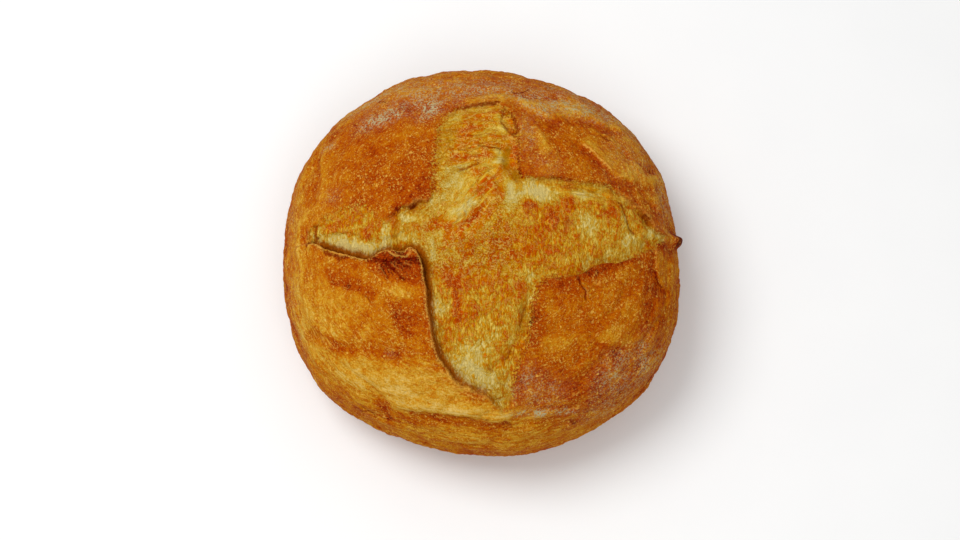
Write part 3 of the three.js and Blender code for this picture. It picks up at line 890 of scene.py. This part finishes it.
class Recipe:
    """A material being made: each call adds a node and returns its output."""

    def __init__(self, name):
        self.material = bpy.data.materials.new(name)
        self.material.use_nodes = True
        self.tree = self.material.node_tree
        self.tree.nodes.clear()
        self.place = self.add("ShaderNodeTexCoord", output="Object")

    def add(self, kind, inputs=None, output=0, **settings):
        """Adds a node, whose inputs are numbers or other nodes' outputs, and returns one of its outputs."""
        node = self.tree.nodes.new(kind)
        for name, value in settings.items():
            setattr(node, name, value)
        for key, value in (inputs or {}).items():
            if isinstance(value, bpy.types.NodeSocket):
                self.tree.links.new(value, node.inputs[key])
            else:
                node.inputs[key].default_value = value
        return node.outputs[output] if node.outputs else None

    def number(self, name):
        """One of the numbers stored at the loaf's points."""
        return self.add("ShaderNodeAttribute", output="Fac", attribute_name=name)

    def total(self, *values):
        running = values[0]
        for value in values[1:]:
            running = self.add("ShaderNodeMath", {0: running, 1: value}, operation="ADD")
        return running

    def times(self, first, second):
        return self.add("ShaderNodeMath", {0: first, 1: second}, operation="MULTIPLY")

    def larger(self, first, second):
        return self.add("ShaderNodeMath", {0: first, 1: second}, operation="MAXIMUM")

    def size_of(self, value):
        return self.add("ShaderNodeMath", {0: value}, operation="ABSOLUTE")

    def fade(self, value, start, end, low=0.0, high=1.0):
        """Goes from low to high as value goes from start to end."""
        spread = {"Value": value, "From Min": start, "From Max": end, "To Min": low, "To Max": high}
        return self.add("ShaderNodeMapRange", spread, interpolation_type="SMOOTHSTEP")

    def mix(self, share, first, second):
        """A number between two others."""
        return self.add("ShaderNodeMix", {0: share, 2: first, 3: second}, data_type="FLOAT")

    def blend(self, share, first, second, kind="MIX"):
        """A colour between two others, or darkened by the second one where kind is MULTIPLY."""
        inputs = {0: share, 6: first, 7: second}
        return self.add("ShaderNodeMix", inputs, output=2, data_type="RGBA", blend_type=kind)

    def vector(self, operation, first, second=(0, 0, 0)):
        return self.add("ShaderNodeVectorMath", {0: first, 1: second}, operation=operation)

    def grain(self, wavelength, detail=3.0, rough=0.55, warp=0.0):
        """Noise from 0 to 1 with a wavelength in mm."""
        return self.grain_at(self.place, detail, rough, warp, 1 / (wavelength * MM))

    def grain_at(self, where, detail=3.0, rough=0.55, warp=0.0, scale=1.0):
        """Noise from 0 to 1 at places that are already in wavelengths."""
        inputs = {"Vector": where, "Scale": scale, "Detail": detail, "Roughness": rough, "Distortion": warp}
        return self.add("ShaderNodeTexNoise", inputs)

    def drawn_out(self, long, wide, up, turn):
        """Places in wavelengths of long mm in the direction turn, wide mm across it and up mm upwards."""
        size = (long * MM, wide * MM, up * MM)
        inputs = {"Vector": self.place, "Scale": size, "Rotation": (0, 0, math.radians(turn))}
        return self.add("ShaderNodeMapping", inputs, vector_type="TEXTURE")

    def round_loaf(self, long, wide):
        """Places in wavelengths of long mm round the loaf and wide mm down from the crown."""
        level = self.vector("NORMALIZE", self.vector("MULTIPLY", self.place, (1, 1, 0)))
        level = self.vector("MULTIPLY", level, (RADIUS / long,) * 3)
        down = self.add("ShaderNodeCombineXYZ", {2: self.times(self.number("from_crown"), 1 / wide)})
        return self.vector("ADD", level, down)

    def spots(self, spacing, start, end, share, seed=0.0, wander=0.0):
        """Uneven spots in a share of the cells of a pattern, 1 at their middles."""
        push = {"Vector": self.place, "Scale": 2 / (spacing * MM)}
        push = self.add("ShaderNodeTexNoise", push, output="Color")
        where = self.vector("ADD", self.place, self.vector("MULTIPLY", push, (wander * MM,) * 3))
        where = self.vector("ADD", where, (seed, seed, seed))
        node = self.tree.nodes.new("ShaderNodeTexVoronoi")
        node.inputs["Scale"].default_value = 1 / (spacing * MM)
        self.tree.links.new(where, node.inputs["Vector"])
        chosen = self.add("ShaderNodeSeparateColor", {0: node.outputs["Color"]})
        picked = self.fade(chosen, 1 - share, 1.25 - share)
        return self.times(self.fade(node.outputs["Distance"], start, end), picked)

    def ramp(self, value, stops):
        """The colour that a number from 0 to 1 stands for."""
        node = self.tree.nodes.new("ShaderNodeValToRGB")
        while len(node.color_ramp.elements) < len(stops):
            node.color_ramp.elements.new(0.5)
        for element, (position, shade) in zip(node.color_ramp.elements, stops):
            element.position = position
            element.color = colour(*shade)
        self.tree.links.new(value, node.inputs[0])
        return node.outputs[0]


# Colours as they look on a screen, 0 to 255. The shades go from pale to burnt.
CRUST_SHADES = [
    (0.0, (216, 180, 98)),
    (0.25, (201, 148, 38)),
    (0.45, (187, 112, 8)),
    (0.62, (173, 82, 0)),
    (0.78, (154, 54, 0)),
    (0.92, (122, 32, 0)),
    (1.0, (90, 20, 2)),
]
CRUMB_SHADES = [
    (0.0, (222, 198, 120)),
    (0.22, (213, 174, 58)),
    (0.45, (205, 137, 4)),
    (0.65, (198, 104, 0)),
    (0.85, (192, 74, 0)),
    (1.0, (170, 56, 0)),
]
FLECK = (226, 174, 72)  # pale specks, blisters and scratches of the crust
FLAKE = (232, 170, 70)  # lifted flakes and the torn rim of the lips
FLOUR = (180, 170, 128)
CRACK = (176, 92, 26)  # what a crack multiplies the colour round it by: partly its own browning, partly painted shade in the groove
STRAND = (236, 198, 96)  # curling threads of crumb
OLIVE_FOLD_SHADE = (166, 112, 0)  # painted shade on the crumb deep in its folds
PORE = (140, 78, 0)
GAP_EDGE = (172, 86, 0)  # crumb in the shade under a lip, at its edge
GAP = (112, 40, 0)  # and at its darkest
FLOOR_SHADES = [(0.0, (240, 240, 240)), (1.0, (244, 244, 243))]


def crust_part(make):
    """The crust's colour and relief: mottled browning, wrinkles round the loaf, pale specks, blisters and
    scratches."""
    # The browning number holds painted shade in folds and hollows and painted highlights on ridges.
    browning = make.number("crust_browning_and_shade")
    mottle = make.fade(make.grain(9, detail=4, rough=0.6, warp=0.5), 0.34, 0.66, -0.07, 0.07)
    crinkle = make.fade(make.grain(2.2, detail=2, warp=0.6), 0.36, 0.64, -0.05, 0.05)
    fine = make.fade(make.grain(0.9, detail=2, rough=0.6), 0.36, 0.64, -0.09, 0.07)
    smear = make.grain_at(make.round_loaf(10, 2.4), detail=4, rough=0.66, warp=0.9)
    smear = make.fade(smear, 0.36, 0.64, -1.0, 1.0)
    smear = make.times(smear, make.fade(make.number("flaky"), 0.0, 1.0, 0.04, 0.15))
    sides = make.fade(make.number("from_crown"), 83, 112)
    streaks = make.fade(make.grain_at(make.round_loaf(9, 1.6), warp=0.6), 0.36, 0.64, -0.11, 0.11)
    streaks = make.times(streaks, sides)
    shade = make.ramp(make.total(browning, mottle, crinkle, fine, smear, streaks), CRUST_SHADES)

    blisters = make.spots(4.4, 0.22, 0.12, 0.22, wander=2.0)
    dots = make.spots(2.4, 0.32, 0.16, 0.30, seed=0.3, wander=1.4)
    clusters = make.fade(make.grain(11, detail=3), 0.36, 0.64, -0.035, 0.035)
    flecks = make.total(make.grain(0.95, detail=2, rough=0.6, warp=0.5), clusters)
    flecks = make.fade(flecks, 0.60, 0.635)
    scratches = make.grain_at(make.round_loaf(5.5, 1.1), detail=2, warp=1.0)
    scratches = make.total(scratches, make.times(make.number("flaky"), 0.07))
    scratches = make.fade(scratches, 0.64, 0.67)
    pale = make.larger(make.times(blisters, 0.9), make.times(dots, 0.85))
    pale = make.larger(pale, make.larger(make.times(flecks, 0.7), make.times(scratches, 0.5)))
    pale = make.times(pale, make.fade(browning, 0.9, 0.65, 0.3, 1.0))
    shade = make.blend(make.times(pale, 0.9), shade, colour(*FLECK))

    relief = make.times(make.total(fine, crinkle), 1.3)
    relief = make.total(relief, make.times(pale, 0.18), make.times(make.total(mottle, streaks), 1.6))
    return shade, relief, make.fade(fine, -0.09, 0.07, 0.72, 0.6)


def crumb_part(make):
    """The crumb's colour and relief: blotches, torn fibres, curling strands and pores, and painted shade,
    olive deep in its folds and brown under a lip."""
    blotch = make.fade(make.grain(6, detail=6, rough=0.7, warp=0.8), 0.36, 0.64, -0.18, 0.18)
    matted = make.grain(1.0, detail=3, rough=0.65, warp=0.8)
    combed = make.grain_at(make.drawn_out(2.8, 1.05, 2.4, 90), detail=4, rough=0.62, warp=0.9)
    fibre = make.fade(make.mix(make.number("combed"), matted, combed), 0.37, 0.63, -1.0, 1.0)
    fibre = make.times(fibre, 0.19)
    across = make.grain_at(make.drawn_out(7, 2.6, 4, 4), detail=5, rough=0.7, warp=1.3)
    rising = make.grain_at(make.drawn_out(8, 2.6, 4, 50), detail=5, rough=0.7, warp=1.3)
    streaks = make.fade(make.mix(make.number("rising"), across, rising), 0.36, 0.64, -0.24, 0.24)
    torn = make.mix(make.number("streaky"), make.total(blotch, fibre), streaks)
    shade = make.ramp(make.total(make.number("crumb_browning_and_shade"), torn), CRUMB_SHADES)

    pores = make.spots(3.4, 0.24, 0.12, 0.24, seed=0.7, wander=1.6)
    shade = make.blend(make.times(pores, 0.3), shade, colour(*PORE))
    curls = make.size_of(make.total(make.grain(3.0, detail=2, rough=0.6, warp=1.0), -0.5))
    strands = make.times(make.fade(curls, 0.045, 0.015), make.fade(make.number("combed"), 0, 1, 0.8, 0.4))
    shade = make.blend(make.times(strands, 0.7), shade, colour(*STRAND))
    # Painted shade: olive where the crumb is deep in its folds, brown under a lip and darkest deepest under
    # it.
    deep = make.total(make.number("deep"), make.times(fibre, 0.9))
    shade = make.blend(make.fade(deep, 0.1, 1.1, 0.0, 0.85), shade, colour(*OLIVE_FOLD_SHADE))
    gap = make.total(make.number("gap"), make.times(fibre, 0.7))
    shade = make.blend(make.fade(gap, 0.05, 0.8, 0.0, 0.95), shade, colour(*GAP_EDGE))
    shade = make.blend(make.fade(gap, 0.85, 1.35), shade, colour(*GAP))

    relief = make.total(make.times(torn, 1.3), make.times(strands, 0.18))
    return shade, relief


def baked_material():
    """Crust and crumb in one material, with what lies over both."""
    make = Recipe("baked_crust_and_crumb")
    crust, crust_relief, crust_rough = crust_part(make)
    crumb, crumb_relief = crumb_part(make)

    # The two meet along the ragged edge.
    ragged = make.fade(make.grain(1.1, detail=3, rough=0.7), 0.3, 0.7, -0.8, 0.8)
    edge = make.total(make.number("edge"), ragged)
    is_crumb = make.fade(edge, 0.3, -0.3)
    skin = make.blend(is_crumb, crust, crumb)

    # Flour: clusters of grains over a thin film.
    drifts = make.fade(make.grain(5, detail=4, rough=0.7, warp=0.5), 0.38, 0.60, 0.3, 1.0)
    flour = make.times(make.number("flour"), drifts)
    grains = make.fade(make.total(make.grain(1.0, detail=2), make.times(flour, 0.12)), 0.57, 0.61)
    dust = make.times(flour, make.total(0.10, make.times(grains, 0.85)))
    skin = make.blend(dust, skin, colour(*FLOUR))

    # Cracks, flakes and the rim's torn crust lie over both. A crack's darkening is partly its own browning
    # and partly painted shade in its groove.
    uneven = make.fade(make.grain(1.0, detail=2), 0.3, 0.7, -0.5, 0.5)
    gape = make.total(make.size_of(make.number("crack")), uneven)
    crack = make.times(make.fade(gape, 1.3, 0.4), make.number("crack_strength"))
    skin = make.blend(crack, skin, colour(*CRACK), "MULTIPLY")
    rim = make.times(make.fade(make.size_of(make.total(edge, -0.9)), 0.9, 0.3), make.number("rim"))
    lifted = make.total(make.size_of(make.number("flake")), make.times(uneven, 1.2))
    lifted = make.times(make.fade(lifted, 1.3, 0.4), make.number("flake_strength"))
    lifted = make.larger(lifted, rim)
    skin = make.blend(make.times(lifted, 0.8), skin, colour(*FLAKE))

    # The relief is in millimetres.
    relief = make.mix(is_crumb, crust_relief, crumb_relief)
    relief = make.total(relief, make.times(crack, -0.4), make.times(lifted, 0.25))
    bump = make.add("ShaderNodeBump", {"Height": relief, "Distance": MM, "Strength": 1.0})
    rough = make.mix(is_crumb, make.total(crust_rough, make.times(dust, 0.3)), 0.8)
    look = {"Base Color": skin, "Roughness": rough, "Normal": bump, "Specular IOR Level": 0.02}
    surface = make.add("ShaderNodeBsdfPrincipled", look)
    make.add("ShaderNodeOutputMaterial", {"Surface": surface})
    return make.material


def floor_material():
    make = Recipe("pale_floor")
    shade = make.ramp(make.grain(60, detail=2), FLOOR_SHADES)
    surface = make.add("ShaderNodeBsdfPrincipled", {"Base Color": shade, "Roughness": 0.9})
    make.add("ShaderNodeOutputMaterial", {"Surface": surface})
    return make.material


# ---------------------------------------------------------------- studio
VIEW_HEIGHT = math.radians(72)  # the camera looks down this steeply, from the front
CAMERA_LENS = 70.0  # mm, on a sensor 36 mm wide
CAMERA_AWAY = 0.9925  # from what it aims at, in metres
CAMERA_AIM = np.array([-1.1, -7.6, 42.5]) * MM
FLOOR_HALF = 6.0  # half the floor's side, in metres
WORLD_LIGHT = 0.56


def make_camera(shift):
    back = Vector((0, -math.cos(VIEW_HEIGHT), math.sin(VIEW_HEIGHT)))
    data = bpy.data.cameras.new("camera")
    data.lens = CAMERA_LENS
    data.sensor_width = 36.0
    data.clip_end = 20
    camera = bpy.data.objects.new("camera", data)
    camera.location = Vector(CAMERA_AIM + shift) + back * CAMERA_AWAY
    camera.rotation_euler = back.to_track_quat("Z", "Y").to_euler()
    bpy.context.collection.objects.link(camera)
    bpy.context.scene.camera = camera


def make_light(name, place, size, power, aim=(0, 0, 0.05)):
    """A round soft light: size across in metres, power in watts."""
    data = bpy.data.lights.new(name, "AREA")
    data.shape = "DISK"
    data.size = size
    data.energy = power
    light = bpy.data.objects.new(name, data)
    light.location = place
    light.rotation_euler = (Vector(place) - Vector(aim)).to_track_quat("Z", "Y").to_euler()
    bpy.context.collection.objects.link(light)


def make_floor():
    half = FLOOR_HALF
    mesh = bpy.data.meshes.new("floor")
    corners = [(-half, -half, 0), (half, -half, 0), (half, half, 0), (-half, half, 0)]
    mesh.from_pydata(corners, [], [(0, 1, 2, 3)])
    mesh.materials.append(floor_material())
    floor = bpy.data.objects.new("floor", mesh)
    bpy.context.collection.objects.link(floor)


def make_world():
    world = bpy.data.worlds.new("studio")
    world.use_nodes = True
    background = world.node_tree.nodes["Background"]
    background.inputs["Color"].default_value = (1, 1, 1, 1)
    background.inputs["Strength"].default_value = WORLD_LIGHT
    bpy.context.scene.world = world


loaf, shift = make_loaf()
loaf.data.materials.append(baked_material())
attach(loaf, "root")
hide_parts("loaf")

make_floor()
make_world()
make_camera(shift)
make_light("key", (-0.55, 0.2, 1.2), 0.8, 10.2)
make_light("front", (0.1, -0.8, 1.2), 0.8, 3.4)
bpy.context.scene.view_settings.view_transform = "Standard"
